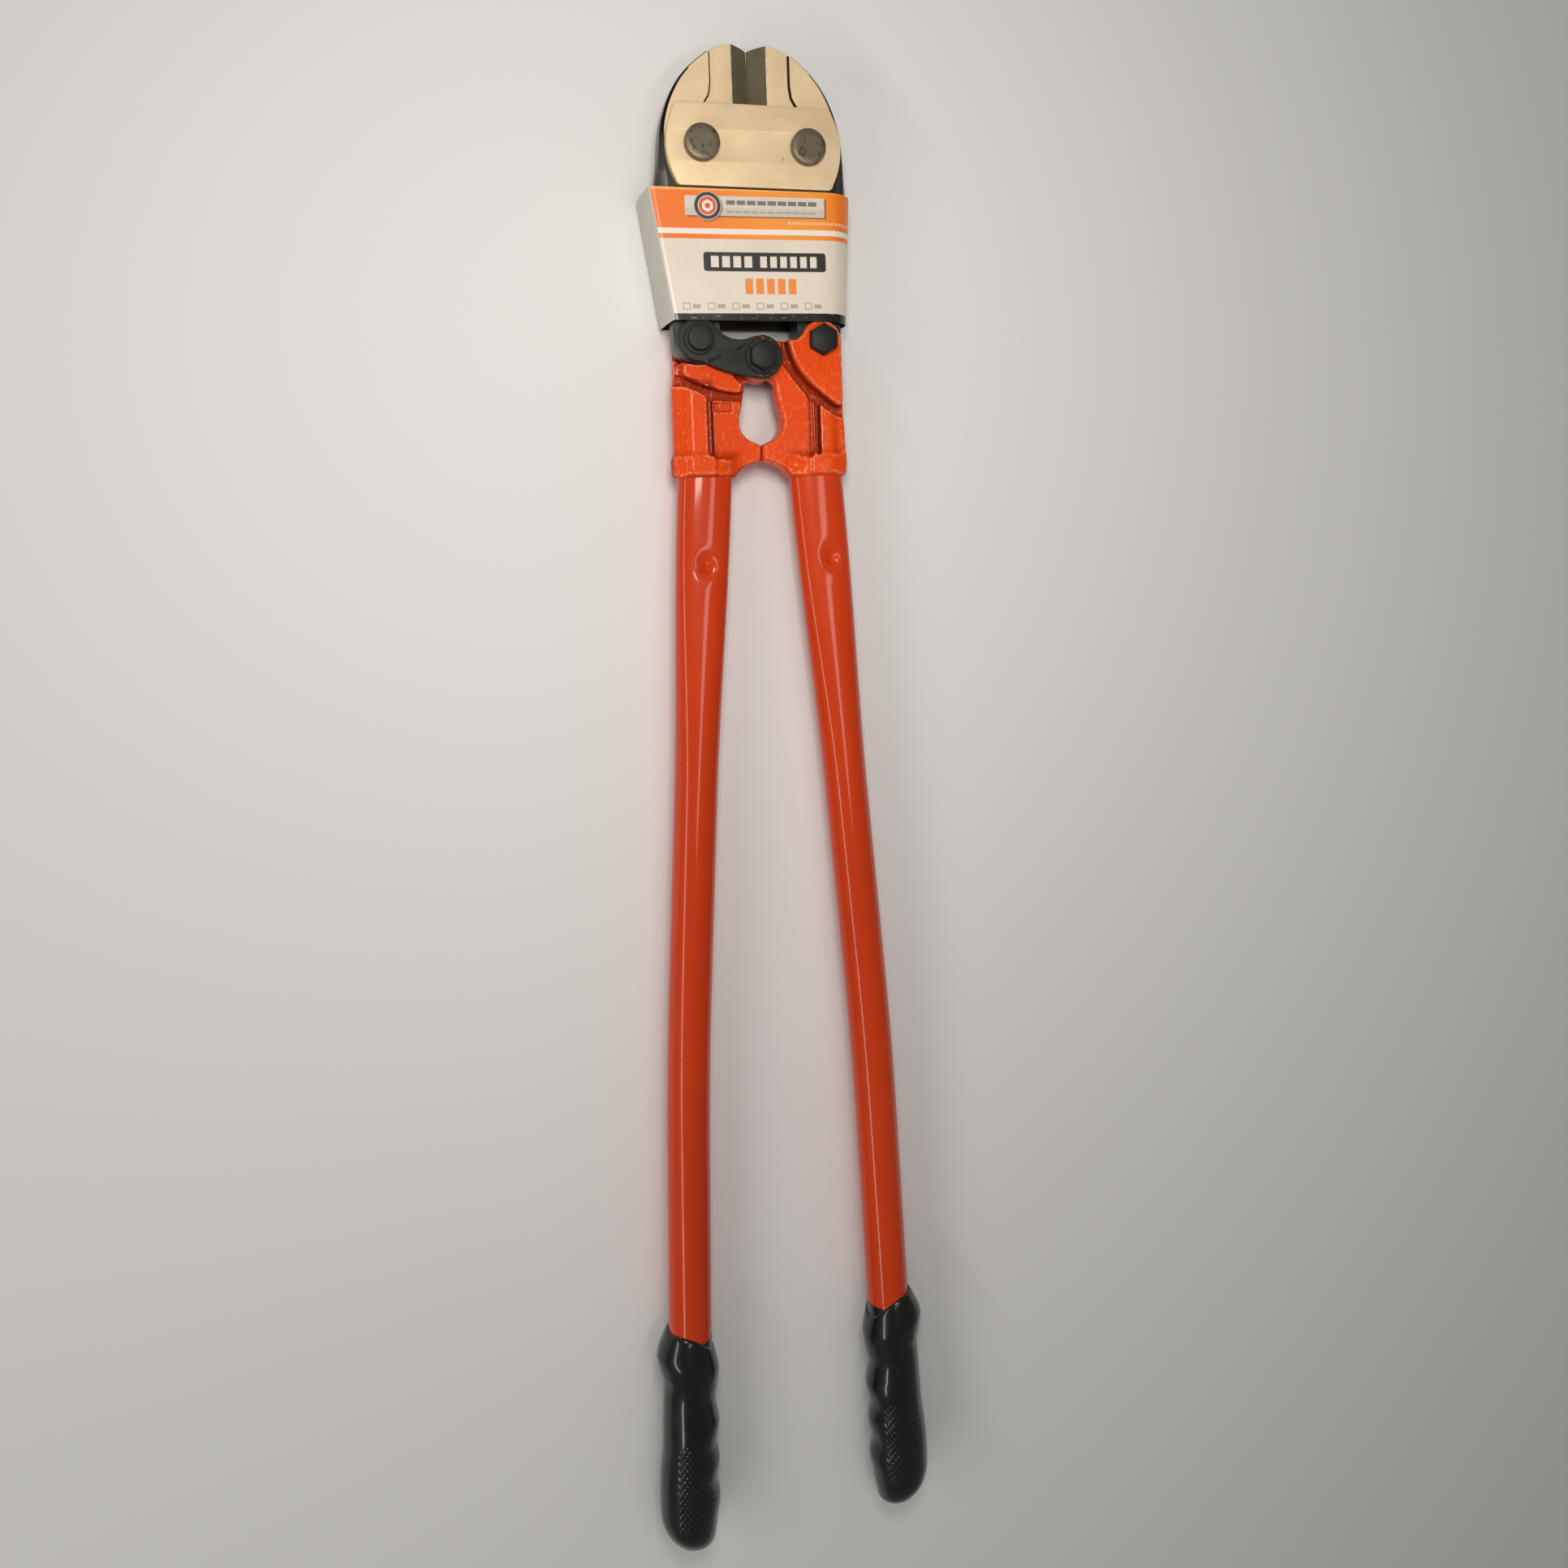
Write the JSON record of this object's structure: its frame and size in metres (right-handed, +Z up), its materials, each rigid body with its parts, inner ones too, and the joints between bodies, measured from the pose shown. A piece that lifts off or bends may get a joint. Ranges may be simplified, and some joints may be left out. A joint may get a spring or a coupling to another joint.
{
  "type": "bolt cutters",
  "caption": "Long-handled bolt cutters with forged jaws, clamp plates, linked cast handle heads, tubular handles, moulded grips and a card sleeve.",
  "frame": {"origin": "middle of the underside of the bounding box, with the tool lying on its back", "axes": "+Y from the grips towards the jaws, +Z up through the thickness, +X to the right seen from above"},
  "size_m": [0.1762, 0.915, 0.043],
  "materials": {
    "jaw_steel": "ground faces, black forged sides",
    "ground_steel": "ground flat, satin",
    "pivot_steel": "black oxide, worn",
    "black_steel": "black oxide, satin",
    "orange_casting": "glossy orange-red paint over a rough casting",
    "orange_tube": "glossy orange-red paint",
    "black_grip": "glossy moulded vinyl",
    "printed_card": "coated printed card"
  },
  "bodies": {
    "head_frame": {"front_clamp_plate": "ground_steel", "rear_clamp_plate": "ground_steel", "jaw_pivot_bolt_left": "pivot_steel", "jaw_pivot_bolt_right": "pivot_steel", "jaw_pivot_nut_left": "pivot_steel", "jaw_pivot_nut_right": "pivot_steel", "card_sleeve": "printed_card"},
    "left_jaw": {"jaw_left": "jaw_steel"},
    "right_jaw": {"jaw_right": "jaw_steel"},
    "left_handle": {"handle_head_left": "orange_casting", "handle_tube_left": "orange_tube", "grip_left": "black_grip", "front_link_plate": "black_steel", "outer_bolt_left": "black_steel", "outer_nut_left": "black_steel", "centre_bolt": "black_steel", "centre_nut": "black_steel", "front_centre_washer": "black_steel", "rear_centre_washer": "black_steel"},
    "right_handle": {"handle_head_right": "orange_casting", "handle_tube_right": "orange_tube", "grip_right": "black_grip", "rear_link_plate": "black_steel", "outer_bolt_right": "black_steel", "outer_nut_right": "black_steel"}
  },
  "joints": [
    {"name": "left_handle_pivot", "type": "hinge", "parent": "left_jaw", "child": "left_handle", "pos_m": [-0.037, 0.2877, 0.0216], "axis": [0, 0, -1], "range_deg": [0, 60.76]},
    {"name": "right_handle_pivot", "type": "hinge", "parent": "right_jaw", "child": "right_handle", "pos_m": [0.037, 0.2877, 0.0216], "axis": [0, 0, 1], "range_deg": [0, 60.77]},
    {"name": "left_jaw_pivot", "type": "hinge", "parent": "head_frame", "child": "left_jaw", "pos_m": [-0.0314, 0.3977, 0.0216], "axis": [0, 0, 1], "range_deg": [0, 10.77]},
    {"name": "right_jaw_pivot", "type": "hinge", "parent": "head_frame", "child": "right_jaw", "pos_m": [0.0314, 0.3977, 0.0216], "axis": [0, 0, -1], "range_deg": [0, 10.77]}
  ],
  "couplings": [
    {"joint": "right_handle_pivot", "follows": "left_handle_pivot", "ratio": 1},
    {"joint": "left_jaw_pivot", "follows": "left_handle_pivot", "ratio": 0.17718},
    {"joint": "right_jaw_pivot", "follows": "left_handle_pivot", "ratio": 0.17718}
  ]
}
